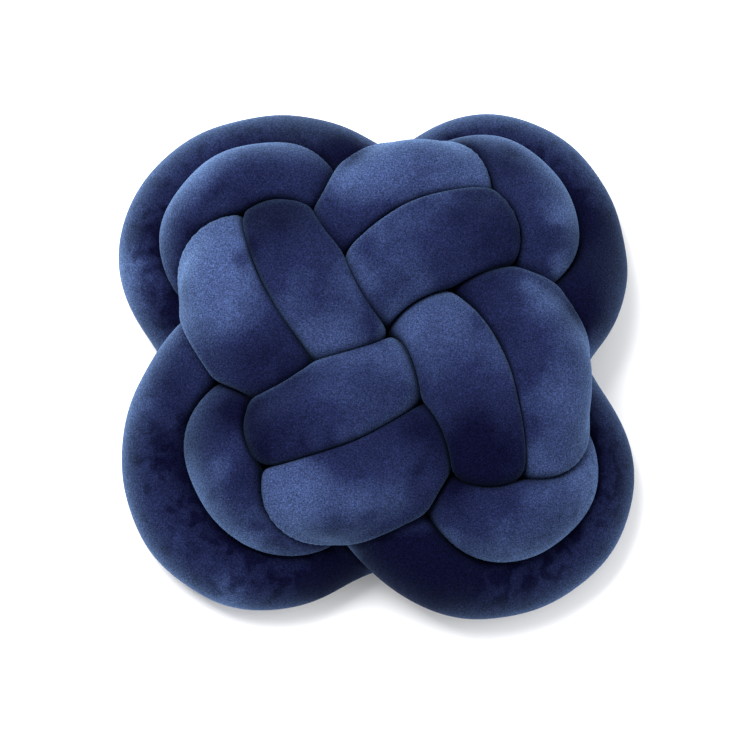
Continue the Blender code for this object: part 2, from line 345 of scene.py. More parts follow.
@dataclass(frozen=True)
class ClosedLine:
    """A dense closed line in space.

    Attributes:
        points: Points along the line, in metres.
    """

    points: np.ndarray

    @classmethod
    def through(
        cls, waypoints: np.ndarray, per_span: int = 40, spacing: float = 0.75
    ) -> "ClosedLine":
        """Carry a closed cubic spline through waypoints.

        Each span from a to b, with t running from 0 to 1 and bends m and n at its ends, is
        (1 - t) a + t b + h^2 / 6 (((1 - t)^3 - (1 - t)) m + (t^3 - t) n), where h is the span's
        length to the given power and the bends make the slope run on evenly from span to span.

        Args:
            waypoints: Points that the line passes through, in order.
            per_span: Points worked out on each span.
            spacing: Power of a span's length that its h is.

        Returns:
            The dense line.
        """
        count = len(waypoints)
        ahead = np.roll(waypoints, -1, axis=0)
        after = np.linalg.norm(ahead - waypoints, axis=1) ** spacing
        before = np.roll(after, 1)
        rise = (ahead - waypoints) / after[:, None]
        fall = (waypoints - np.roll(waypoints, 1, axis=0)) / before[:, None]
        here = np.arange(count)
        system = np.zeros((count, count))
        system[here, here - 1] += before
        system[here, here] += 2.0 * (before + after)
        system[here, (here + 1) % count] += after
        bends = np.linalg.solve(system, 6.0 * (rise - fall))
        t = np.linspace(0.0, 1.0, per_span, endpoint=False)[None, :, None]
        back = 1.0 - t
        next_bends = np.roll(bends, -1, axis=0)
        pull = (back**3 - back) * bends[:, None] + (t**3 - t) * next_bends[:, None]
        spans = back * waypoints[:, None] + t * ahead[:, None]
        spans = spans + pull * after[:, None, None] ** 2 / 6.0
        return cls(spans.reshape(-1, 3))

    def travelled(self) -> np.ndarray:
        """Distance along the line to each point, and all round to the first again."""
        steps = np.linalg.norm(np.roll(self.points, -1, axis=0) - self.points, axis=1)
        return np.concatenate([[0.0], np.cumsum(steps)])

    def length(self) -> float:
        """Whole length of the line in metres."""
        return float(self.travelled()[-1])

    def stations(self, count: int) -> np.ndarray:
        """Pick points at equal steps along the line.

        Args:
            count: How many points to pick.

        Returns:
            The points, one row each.
        """
        closed = np.vstack([self.points, self.points[:1]])
        travelled = self.travelled()
        wanted = np.linspace(0.0, travelled[-1], count, endpoint=False)
        columns = [np.interp(wanted, travelled, closed[:, axis]) for axis in range(3)]
        return np.stack(columns, axis=1)

    def settled(self, reach: float, step: float = 4.0 * MM) -> "ClosedLine":
        """Even the line out over about a given length.

        For the evening S and the line x, the result is S(x) + S(x - S(x)): what the first pass
        takes off is evened too and given back, so the wide bends keep their size.

        Args:
            reach: Standard deviation of the evening, along the line.
            step: Spacing of the points that are evened.

        Returns:
            The smoother line.
        """
        points = self.stations(round(self.length() / step))
        passes = round(2.0 * (reach / step) ** 2)
        once = evened(points, passes, 0)
        return ClosedLine(once + evened(points - once, passes, 0))


def route_line(kind: TubeKind) -> ClosedLine:
    """Turn a quarter's route through the four quarters, with each quarter's own unevenness.

    A push fades along the tube as exp(-(rows away / fade)^2).

    Args:
        kind: The tube whose route and shifts are used.

    Returns:
        The middle line of the whole tube.
    """
    rows = np.array(ROUTES[kind], dtype=float)
    first = 1 + 2 * kind.value
    lobes = [np.array(row[first:first + 2], dtype=float) for row in LOBE_SHIFTS]
    pairs = [np.array(row[first:first + 2], dtype=float) for row in PAIR_SHIFTS]
    quarters = []
    for quarter, turn in enumerate(QUARTER_TURNS):
        turned = rows[:, :3] @ np.array(Matrix.Rotation(turn * np.pi / 2.0, 3, "Z")).T
        turned[:, :2] += rows[:, 3:4] * lobes[quarter]
        turned[:, :2] += rows[:, 4:5] * lobes[(quarter + 1) % 4]
        turned[:, :2] += rows[:, 5:6] * pairs[quarter]
        quarters.append(turned)
    route = np.vstack(quarters)
    for quarter, row, fade, *push in PUSHES[kind]:
        away = np.arange(len(route)) - (quarter * len(rows) + row)
        away = (away + len(route) / 2.0) % len(route) - len(route) / 2.0
        route += np.exp(-((away / fade) ** 2))[:, None] * np.array(push, dtype=float)
    return ClosedLine.through(route * MM - CENTRE).settled(LINE_SETTLING)


@dataclass(frozen=True)
class Spine:
    """Stations along a tube's middle line, with the rays of the section at each.

    Attributes:
        middle: Station points, one row each.
        along: Unit direction of the tube at each station.
        bend: How fast that direction turns, for each metre along the tube.
        distance: Distance of each station along the tube.
        turns: Angle of each ray.
        rays: Unit rays, stations by rays by three.
        length: Length of the tube.
    """

    middle: np.ndarray
    along: np.ndarray
    bend: np.ndarray
    distance: np.ndarray
    turns: np.ndarray
    rays: np.ndarray
    length: float

    @classmethod
    def on(cls, line: ClosedLine, stations: int, sides: int) -> "Spine":
        """Set stations and rays on a line.

        A ray at the angle a is cos a * side + sin a * up, where side is level and square to the
        tube, and up is square to both.

        Args:
            line: The tube's middle line.
            stations: Sections along the tube.
            sides: Rays in each section.

        Returns:
            The stations and their rays.
        """
        middle = line.stations(stations)
        along = np.roll(middle, -1, axis=0) - np.roll(middle, 1, axis=0)
        step = np.linalg.norm(along, axis=1, keepdims=True) / 2.0
        along /= 2.0 * step
        side = np.stack([along[:, 1], -along[:, 0], np.zeros(len(along))], axis=1)
        side /= np.linalg.norm(side, axis=1, keepdims=True)
        upward = np.cross(side, along)
        turns = np.linspace(0.0, 2.0 * np.pi, sides, endpoint=False)
        across = np.cos(turns)[None, :, None] * side[:, None]
        rays = across + np.sin(turns)[None, :, None] * upward[:, None]
        bend = (np.roll(along, -1, axis=0) - np.roll(along, 1, axis=0)) / (2.0 * step)
        distance = np.arange(stations) * line.length() / stations
        return cls(middle, along, bend, distance, turns, rays, line.length())


@dataclass(frozen=True)
class StuffedSection:
    """How a stuffed tube's section gives way to what it presses on.

    Attributes:
        radius: Radius of the section where nothing touches it.
        fullest: Radius that the free part of a pressed section swells to at most.
        slimmest: Radius that it keeps at least.
        gap: Space left between two tubes that press on each other.
        shoulder: How square the edge between a free and a pressed part is.
        feeler_step: Spacing of the points that stand for the tubes' middles.
        reach: Distance past which another stretch of tube is not felt.
        own_reach: Distance within which a tube does not feel its own middle.
        thinnest: Least distance from the middle to the skin.
        groove_shade_reach: Clearance over which the painted shade in the grooves between tubes
            fades out.
        swell: Share by which the section of a raised tube fills out beside a neighbour.
        swell_from: Height of the middle from which it does.
        swell_rise: Rise from there to the height where it does so fully.
        corner: How far off, in radii, a neighbour still has that effect.
        corner_evening: Passes round the tube that even that effect out.
        halvings: Halvings in the search for the radius that keeps the girth.
        girth_evening: Passes along the tube that even that radius out.
        skin_evening: Passes along and round the tube that even out the limits and the skin.
        groove_shade_evening: Passes along and round the tube that even out the painted groove
            shade.
        ironing: Power of the pressed limit over the free radius, with which a pressed part is
            flattened.
        batch: Stations felt for at once, which keeps the arrays small.
    """

    radius: float = 38.0 * MM
    fullest: float = 44.0 * MM
    slimmest: float = 34.0 * MM
    gap: float = 0.6 * MM
    shoulder: float = 18.0
    feeler_step: float = 4.0 * MM
    reach: float = 120.0 * MM
    own_reach: float = 9.0 * MM
    thinnest: float = 4.0 * MM
    groove_shade_reach: float = 3.0 * MM
    swell: float = 0.24
    swell_from: float = 85.0 * MM
    swell_rise: float = 20.0 * MM
    corner: float = 1.6
    corner_evening: int = 8
    halvings: int = 24
    girth_evening: int = 150
    skin_evening: tuple[int, int] = (2, 1)
    groove_shade_evening: tuple[int, int] = (3, 3)
    ironing: int = 4
    batch: int = 40

    def pressed(self, spine: Spine, feelers: np.ndarray) -> np.ndarray:
        """How far each ray runs before it is as near to another middle as to its own.

        For a ray n from the point c and another middle point q at offset d = q - c, the ray
        meets the plane half way between them at |d|^2 / (2 n.d), and the nearest plane counts.

        Args:
            spine: The tube's stations and rays.
            feelers: Points along the middles of both tubes.

        Returns:
            Limits, stations by rays.
        """
        limits = np.empty(spine.rays.shape[:2])
        stations = np.arange(len(spine.middle))
        for part in np.array_split(stations, max(1, len(stations) // self.batch)):
            offsets = feelers[None, :, :] - spine.middle[part][:, None, :]
            squares = (offsets**2).sum(axis=2)
            facing = np.matmul(spine.rays[part], np.swapaxes(offsets, 1, 2))
            felt = (squares > self.own_reach**2) & (squares < self.reach**2)
            halfway = squares[:, None, :] / (2.0 * np.maximum(facing, TINY))
            halfway = np.where(felt[:, None, :] & (facing > TINY), halfway, self.reach)
            limits[part] = halfway.min(axis=2)
        return np.maximum(limits - self.gap / 2.0, self.thinnest)

    def floored(self, spine: Spine) -> np.ndarray:
        """How far each ray runs before it meets the floor: the middle's height over its fall."""
        fall = np.maximum(-spine.rays[:, :, 2], TINY)
        return np.minimum(spine.middle[:, 2:3] / fall, self.reach)

    def swelling(self, spine: Spine) -> np.ndarray:
        """Share by which each section fills out beside a neighbour, growing with its height."""
        raised = (spine.middle[:, 2] - self.swell_from) / self.swell_rise
        return self.swell * np.clip(raised, 0.0, 1.0)

    def eased(
        self, radii: np.ndarray, pressed: np.ndarray, floor: np.ndarray, swelling: np.ndarray
    ) -> np.ndarray:
        """How far the skin lies from the middle along each ray.

        The free radius r swells beside a neighbour, where the stuffing is squeezed into the
        corner, and is eased into the pressed limit as (r^-p + limit^-p)^(-1/p) for the power p.
        Nothing goes below the floor.

        Args:
            radii: Free radius of each section.
            pressed: Limits felt from other tubes.
            floor: Limits felt from the floor.
            swelling: Share by which each section fills out beside a neighbour.

        Returns:
            Distances, stations by rays.
        """
        power = self.shoulder
        free = radii[:, None]
        near = (self.corner * free - pressed) / ((self.corner - 1.0) * free)
        beside = evened(np.clip(near, 0.0, 1.0), 0, self.corner_evening)
        full = free * (1.0 + swelling[:, None] * beside)
        soft = (full**-power + pressed**-power) ** (-1.0 / power)
        return np.minimum(soft, floor)

    def filled(
        self, pressed: np.ndarray, floor: np.ndarray, swelling: np.ndarray, turns: np.ndarray
    ) -> np.ndarray:
        """Radius of each section's free part that keeps the cover's girth.

        The search halves the span between the slimmest and the fullest radius, and keeps the half
        in which the section's outline is as long as that of a free tube.

        Args:
            pressed: Limits felt from other tubes.
            floor: Limits felt from the floor.
            swelling: Share by which each section fills out beside a neighbour.
            turns: Angle of each ray.

        Returns:
            One radius for each station, evened out along the tube.
        """
        low = np.full(len(pressed), self.slimmest)
        high = np.full(len(pressed), self.fullest)
        for _ in range(self.halvings):
            trial = (low + high) / 2.0
            corners = self.eased(trial, pressed, floor, swelling) * np.exp(1j * turns)
            girth = np.abs(corners - np.roll(corners, 1, axis=1)).sum(axis=1)
            slack = girth < 2.0 * np.pi * self.radius
            low, high = np.where(slack, trial, low), np.where(slack, high, trial)
        return evened(((low + high) / 2.0)[:, None], self.girth_evening, 0)[:, 0]


@dataclass(frozen=True)
class HandMade:
    """Small unevenness of stuffing and cover.

    Attributes:
        seed: Seed of the fixed pattern of lumps.
        lump: Height of each wave in the soft lumps of the stuffing.
        lump_waves: How many such waves are laid over each other.
        lump_counts: Least and most times that one of them runs up and down along the tube.
        lump_lobes: Least and most times that it runs up and down round the tube.
        pucker: Depth of the creases where the cover bunches inside a bend.
        pucker_step: Spacing of those creases along the tube.
        pucker_from: The tube's radius over the bend's, from which there are any.
        pucker_drift: Size and number of the waves by which their spacing wanders.
        pucker_evening: Passes along and round the tube that even out where they are.
    """

    seed: int
    lump: float = 0.08 * MM
    lump_waves: int = 26
    lump_counts: tuple[int, int] = (12, 69)
    lump_lobes: tuple[int, int] = (0, 3)
    pucker: float = 1.1 * MM
    pucker_step: float = 13.0 * MM
    pucker_from: float = 0.15
    pucker_drift: tuple[tuple[float, int], ...] = ((0.35, 23), (0.3, 41))
    pucker_evening: tuple[int, int] = (4, 2)

    def lumps(self, spine: Spine) -> np.ndarray:
        """Height of the lumps along each ray.

        They are a sum of waves sin(2 pi k s / L + n turn + phase) with whole numbers k and n, so
        they close both ways.

        Args:
            spine: The tube's stations and rays.

        Returns:
            Heights, stations by rays.
        """
        chance = np.random.default_rng(self.seed)
        height = np.zeros(spine.rays.shape[:2])
        for _ in range(self.lump_waves):
            count = chance.integers(*self.lump_counts, endpoint=True)
            lobes = chance.integers(*self.lump_lobes, endpoint=True)
            phase = chance.uniform(0.0, 2.0 * np.pi)
            run = 2.0 * np.pi * count * spine.distance[:, None] / spine.length
            height += np.sin(run + lobes * spine.turns[None, :] + phase) * self.lump
        return height

    def puckers(self, spine: Spine, radius: float) -> np.ndarray:
        """Depth of the bunched creases along each ray.

        It is (1 - |sin(pi s / step)|)^3 times how far the ray looks into the bend.

        Args:
            spine: The tube's stations and rays.
            radius: Radius of a free tube.

        Returns:
            Depths, stations by rays.
        """
        inward = (spine.rays * spine.bend[:, None]).sum(axis=2) * radius - self.pucker_from
        inward = evened(np.clip(inward, 0.0, 1.0), *self.pucker_evening)
        share = spine.distance / spine.length
        drift = sum(size * np.sin(2.0 * np.pi * count * share) for size, count in self.pucker_drift)
        creases = round(spine.length / self.pucker_step)
        ridge = 1.0 - np.abs(np.sin(np.pi * creases * share + drift))
        return self.pucker * ridge[:, None] ** 3 * inward

    def dents(self, kind: TubeKind, skin: np.ndarray, rays: np.ndarray) -> np.ndarray:
        """Depth of the dents and creases below each skin point.

        Each is depth * exp(-(a / length)^2 - (b / width)^2), where a and b are the distances
        along and across it on the cushion's face, times how far the skin looks up.

        Args:
            kind: Which tube the skin belongs to.
            skin: Skin points, stations by rays by three.
            rays: Unit rays from the tube's middle to them.

        Returns:
            Depths, stations by rays.
        """
        depth = np.zeros(skin.shape[:2])
        for x, y, heading, length, width, deepest in CREASES[kind]:
            away = (skin[:, :, 0] / MM - x) + 1j * (skin[:, :, 1] / MM - y)
            away = away * np.exp(-1j * np.radians(heading))
            fade = (away.real / length) ** 2 + (away.imag / width) ** 2
            depth += deepest * MM * np.exp(-fade)
        return depth * np.clip(rays[:, :, 2], 0.0, 1.0)


@dataclass(frozen=True)
class BrushedPile:
    """How the pile lies on the tubes: its painted light and shade, and its painted edge highlight.

    Attributes:
        lean: How strongly the painted sheen of the pile's lean along the outer and the inner tube
        shows, and which way it goes.
        lean_height: Height of each of these tubes' middle, in mm, from which it shows fully.
        lean_rise: Rise up to there, in mm, over which it comes to show.
        steepness: How soon a climb shows the whole lean.
        ring_height: Height of the middle, in mm, from which a strand is no low ring.
        ring_rise: Rise up to there, in mm, over which it stops being one.
        ring_shade: Painted shade: how much darker a low ring is on its side to the weave.
        ring_turn: How far out the skin of a ring may look and still get that painted shade.
        dent_shade: Painted shade: how much darker each millimetre of a dent's depth makes the skin.
        edge: Strength of the painted highlight on the skin's edge where the skin looks straight up.
        edge_outward: How much stronger it is where the skin looks out of the cushion.
        edge_lit: How much stronger it is where the skin looks to the lit side.
        edge_limits: Least and most that these three give.
        key_lamp_side: Side of the cushion towards the key lamp, where that painted highlight is
            strongest.
        edge_nap: Share of the highlight which shows where the pile's painted shading is even.
        edge_brushed: How much more of it shows where the pile's painted shading is light.
        edge_nap_limits: Least and most of that share.
        smooth_height: Height of the skin, in mm, from which hands have left the pile smooth.
        smooth_rise: Rise up to there, in mm, over which it gets smooth.
        smooth: How ruffled it still is there.
    """

    lean: tuple[float, float] = (0.9, -0.8)
    lean_height: tuple[float, float] = (20.0, 95.0)
    lean_rise: float = 30.0
    steepness: float = 1.5
    ring_height: float = 65.0
    ring_rise: float = 20.0
    ring_shade: float = 0.9
    ring_turn: float = 0.5
    dent_shade: float = 0.4
    edge: float = 0.3
    edge_outward: float = 0.9
    edge_lit: float = 0.35
    edge_limits: tuple[float, float] = (0.05, 1.3)
    key_lamp_side: tuple[float, float, float] = (-0.8, 0.6, 0.0)
    edge_nap: float = 0.8
    edge_brushed: float = 0.5
    edge_nap_limits: tuple[float, float] = (0.15, 1.2)
    smooth_height: float = 120.0
    smooth_rise: float = 30.0
    smooth: float = 0.1

    def painted_nap_shading(
        self, kind: TubeKind, skin: np.ndarray, spine: Spine, facing_out: np.ndarray
    ) -> np.ndarray:
        """Painted light and shade on the pile, as it looks from above the cushion's face.

        The pile leans along the tube, one way on the outer tube and the other way on the inner
        one, so a stretch that climbs shows its pile from the side on one and end on on the other,
        and its sheen is painted lighter or darker for that. Lightness is lean * tanh(steepness *
        climb) plus the sum of strength * exp(-d^2 / r^2) over the tube's own patches of painted
        light and shade, and a low ring gets painted shade where it faces the weave.

        Args:
            kind: Which tube the skin belongs to.
            skin: Skin points, stations by rays by three.
            spine: The tube's stations and rays.
            facing_out: How far each ray looks away from the cushion's middle, from -1 to 1.

        Returns:
            Lightness from about -1 to 1, stations by rays.
        """
        height = spine.middle[:, 2] / MM
        short = (self.lean_height[kind.value] - height) / self.lean_rise
        lean = self.lean[kind.value] * np.clip(1.0 - short, 0.0, 1.0)
        light = (lean * np.tanh(self.steepness * spine.along[:, 2]))[:, None]
        low = np.clip((self.ring_height - height) / self.ring_rise, 0.0, 1.0)[:, None]
        # Painted shade on a low ring's side towards the weave, which the strands over it shade.
        light = light - self.ring_shade * low * np.clip(self.ring_turn - facing_out, 0.0, 1.0)
        for x, y, radius, strength in PAINTED_NAP_PATCHES[kind]:
            away = (skin[:, :, 0] / MM - x) ** 2 + (skin[:, :, 1] / MM - y) ** 2
            light += strength * np.exp(-away / radius**2)
        return light

    def painted_edge_light(self, rays: np.ndarray, facing_out: np.ndarray, painted_nap_shading: np.ndarray) -> np.ndarray:
        """Strength of the painted highlight on the skin's edge, standing in for the velvet's sheen.

        It is (edge + edge_outward * out + edge_lit * to the lit side) times (edge_nap +
        edge_brushed * nap), each cut off at its limits.

        Args:
            rays: Unit rays from the tube's middle to the skin.
            facing_out: How far each ray looks away from the cushion's middle, from -1 to 1.
            painted_nap_shading: The painted light and shade of the pile.

        Returns:
            Strength from 0 to about 1.6, stations by rays.
        """
        # Painted light on the sides that look towards the key lamp and out of the cushion.
        facing_lit = rays @ np.array(self.key_lamp_side)
        edge = self.edge + self.edge_outward * facing_out + self.edge_lit * facing_lit
        shown = self.edge_nap + self.edge_brushed * painted_nap_shading
        return np.clip(edge, *self.edge_limits) * np.clip(shown, *self.edge_nap_limits)

    def handled(self, skin: np.ndarray) -> np.ndarray:
        """How ruffled hands have left the pile while weaving: (top - height) / rise, cut off."""
        below = (self.smooth_height - skin[:, :, 2] / MM) / self.smooth_rise
        return np.clip(below, self.smooth, 1.0)


@dataclass(frozen=True)
class PlushFinish:
    """Navy crystal velvet: a knitted polyester plush with a short dense pile.

    The pile hides the shine of the fibres when seen down its length and shows it from the side.
    That
    sheen is painted into the colour: a steel-blue highlight on the skin's rim, and light and dark
    patches where the pile is brushed one way or the other. Painted shade darkens the grooves where
    the tubes press on each other, the dents, and the sides of the low rings towards the weave.

    Attributes:
        name: Name of the material.
        deep: Colour where the painted shading is darkest: painted shade, and the pile leaning away.
        middle: Colour of the untouched pile.
        light: Colour where the painted shading is lightest: painted sheen of pile leaning to the
            light.
        rim: Colour of the painted highlight on the skin's edge, and tint of the sheen.
        lean_span: Leans at which the cloth is as dark and as light as it gets.
        pile_mm: Spacing of the tufts. The real one is about 0.4 mm, and it is drawn coarser so
            that it shows.
        speckle: How much the tufts differ in lightness.
        speckle_mean: Mean of the tufts' squared noise, which keeps the cloth's own lightness.
        pile_depth: Depth of the relief between the tufts.
        pile_relief: How much of that relief is used.
        tuft_gloss: How much less rough the tufts' tips are than the matt ground.
        smudge_mm: Size of the soft finger marks in the pile.
        smudging: How much they change how the pile leans.
        mottle_mm: Size of the small ruffled spots in the pile.
        mottle_span: Values of the spots' noise between which a spot comes up.
        mottling: How much darker the spots look.
        groove_light: Painted groove shade: share of its lightness the cloth keeps where tubes
            press.
        edge_power: How close to the skin's edge the painted highlight is held.
        ior: Index of refraction of the polyester fibres.
        specular: How much the loose pile reflects as a surface, which is next to nothing.
        sheen: How much light its fibres scatter at a grazing angle.
        sheen_spread: How wide they scatter it.
    """

    name: str
    deep: str = "05061c"
    middle: str = "161c39"
    light: str = "344267"
    rim: str = "566e95"
    lean_span: tuple[float, float] = (0.05, 0.95)
    pile_mm: float = 1.3
    speckle: float = 2.6
    speckle_mean: float = 0.27
    pile_depth: float = 0.5 * MM
    pile_relief: float = 0.35
    tuft_gloss: float = 0.3
    smudge_mm: float = 30.0
    smudging: float = 0.28
    mottle_mm: float = 15.0
    mottle_span: tuple[float, float] = (0.42, 0.70)
    mottling: float = 0.3
    groove_light: float = 0.2
    edge_power: float = 2.0
    ior: float = 1.45
    specular: float = 0.02
    sheen: float = 0.12
    sheen_spread: float = 0.3

    def lean(
        self,
        tree: bpy.types.NodeTree,
        place: bpy.types.NodeSocket,
        layers: dict[str, bpy.types.NodeSocket],
    ) -> bpy.types.NodeSocket:
        """How light the pile lies: painted shading (1 + nap) / 2 + smudging (smudge - 1/2) - spots
        * handled.

        Args:
            tree: The material's node tree.
            place: Object coordinates.
            layers: The skin's attributes by name.

        Returns:
            The lean, from 0 to 1.
        """
        smudge = add_node(
            tree,
            "ShaderNodeTexNoise",
            None,
            {
                "Vector": place,
                "Scale": 1.0 / (self.smudge_mm * MM),
                "Detail": 1.0,
                "Roughness": 0.5,
                "Distortion": 0.6,
            },
        ).outputs["Fac"]
        mottle = add_node(
            tree,
            "ShaderNodeTexNoise",
            None,
            {
                "Vector": place,
                "Scale": 1.0 / (self.mottle_mm * MM),
                "Detail": 2.0,
                "Roughness": 0.5,
                "Distortion": 0.3,
            },
        ).outputs["Fac"]
        first, full = self.mottle_span
        spots = add_node(
            tree,
            "ShaderNodeMapRange",
            {"interpolation_type": "SMOOTHSTEP"},
            {"Value": mottle, "From Min": first, "From Max": full, "To Max": self.mottling},
        ).outputs["Result"]
        ruffled = add_node(
            tree, "ShaderNodeMath", {"operation": "MULTIPLY"}, {0: spots, 1: layers["handled"]}
        ).outputs[0]
        brushed = add_node(
            tree,
            "ShaderNodeMath",
            {"operation": "MULTIPLY_ADD"},
            {0: layers["painted_nap_shading"], 1: 0.5, 2: 0.5},
        ).outputs[0]
        smudged = add_node(
            tree,
            "ShaderNodeMath",
            {"operation": "MULTIPLY_ADD", "use_clamp": True},
            {0: smudge, 1: self.smudging, 2: brushed},
        ).outputs[0]
        darker = add_node(
            tree, "ShaderNodeMath", {"operation": "ADD"}, {0: ruffled, 1: self.smudging / 2.0}
        ).outputs[0]
        return add_node(
            tree,
            "ShaderNodeMath",
            {"operation": "SUBTRACT", "use_clamp": True},
            {0: smudged, 1: darker},
        ).outputs[0]

    def dye(
        self, tree: bpy.types.NodeTree, lean: bpy.types.NodeSocket, painted_edge_light: bpy.types.NodeSocket
    ) -> bpy.types.NodeSocket:
        """Colour by lean, turned to the rim's colour by facing^edge_power * glow: a painted
        highlight.

        Args:
            tree: The material's node tree.
            lean: How light the pile lies.
            painted_edge_light: Strength of the painted highlight on the skin's edge.

        Returns:
            The colour.
        """
        ramp = add_node(tree, "ShaderNodeValToRGB", None, {"Fac": lean})
        darkest, lightest = ramp.color_ramp.elements
        darkest.position, lightest.position = self.lean_span
        darkest.color, lightest.color = linear_colour(self.deep), linear_colour(self.light)
        ramp.color_ramp.elements.new(0.5).color = linear_colour(self.middle)
        # Painted sheen highlight: the colour turns towards the rim's where the skin is seen edge
        # on.
        facing = add_node(tree, "ShaderNodeLayerWeight", None, {"Blend": 0.5}).outputs["Facing"]
        edge = add_node(
            tree, "ShaderNodeMath", {"operation": "POWER"}, {0: facing, 1: self.edge_power}
        ).outputs[0]
        lit = add_node(
            tree, "ShaderNodeMath", {"operation": "MULTIPLY"}, {0: edge, 1: painted_edge_light}
        ).outputs[0]
        return add_node(
            tree,
            "ShaderNodeMix",
            {"data_type": "RGBA"},
            {"Factor": lit, 6: ramp.outputs["Color"], 7: linear_colour(self.rim)},
        ).outputs[2]

    def gain(
        self, tree: bpy.types.NodeTree, tufts: bpy.types.NodeSocket, groove_unshaded: bpy.types.NodeSocket
    ) -> bpy.types.NodeSocket:
        """Lightness of the tufts times the painted groove shade: a line in tufts^2 times one in its
        mask.

        Args:
            tree: The material's node tree.
            tufts: Noise of the tufts.
            groove_unshaded: Mask of the painted groove shade, 0 where the tubes press together.

        Returns:
            The factor on the colour.
        """
        tips = add_node(
            tree, "ShaderNodeMath", {"operation": "POWER"}, {0: tufts, 1: 2.0}
        ).outputs[0]
        speck = add_node(
            tree,
            "ShaderNodeMath",
            {"operation": "MULTIPLY_ADD"},
            {0: tips, 1: self.speckle, 2: 1.0 - self.speckle_mean * self.speckle},
        ).outputs[0]
        # Painted shade in the grooves where the tubes press on each other.
        groove_shade = add_node(
            tree,
            "ShaderNodeMath",
            {"operation": "MULTIPLY_ADD"},
            {0: groove_unshaded, 1: 1.0 - self.groove_light, 2: self.groove_light},
        ).outputs[0]
        return add_node(
            tree, "ShaderNodeMath", {"operation": "MULTIPLY"}, {0: speck, 1: groove_shade}
        ).outputs[0]

    def build(self) -> bpy.types.Material:
        """Make the material: colour with painted light and shade, fine relief and roughness by
        tufts, a sheen.
        """
        material = bpy.data.materials.new(self.name)
        material.use_nodes = True
        tree = material.node_tree
        tree.nodes.clear()
        place = add_node(tree, "ShaderNodeTexCoord").outputs["Object"]
        layers = {
            name: add_node(tree, "ShaderNodeAttribute", {"attribute_name": name}).outputs["Fac"]
            for name in ("painted_nap_shading", "groove_unshaded", "painted_edge_light", "handled")
        }
        tufts = add_node(
            tree,
            "ShaderNodeTexNoise",
            None,
            {"Vector": place, "Scale": 1.0 / (self.pile_mm * MM), "Detail": 1.0, "Roughness": 0.5},
        ).outputs["Fac"]
        dye = self.dye(tree, self.lean(tree, place, layers), layers["painted_edge_light"])
        gain = self.gain(tree, tufts, layers["groove_unshaded"])
        colour = add_node(
            tree, "ShaderNodeVectorMath", {"operation": "SCALE"}, {0: dye, "Scale": gain}
        ).outputs[0]
        relief = add_node(
            tree,
            "ShaderNodeBump",
            None,
            {"Height": tufts, "Strength": self.pile_relief, "Distance": self.pile_depth},
        ).outputs["Normal"]
        matt = add_node(
            tree,
            "ShaderNodeMath",
            {"operation": "MULTIPLY_ADD"},
            {0: tufts, 1: -self.tuft_gloss, 2: 1.0},
        ).outputs[0]
        shader = add_node(
            tree,
            "ShaderNodeBsdfPrincipled",
            None,
            {
                "Base Color": colour,
                "Roughness": matt,
                "IOR": self.ior,
                "Specular IOR Level": self.specular,
                "Sheen Weight": self.sheen,
                "Sheen Roughness": self.sheen_spread,
                "Sheen Tint": linear_colour(self.rim),
                "Normal": relief,
            },
        )
        add_node(tree, "ShaderNodeOutputMaterial", None, {"Surface": shader.outputs["BSDF"]})
        return material


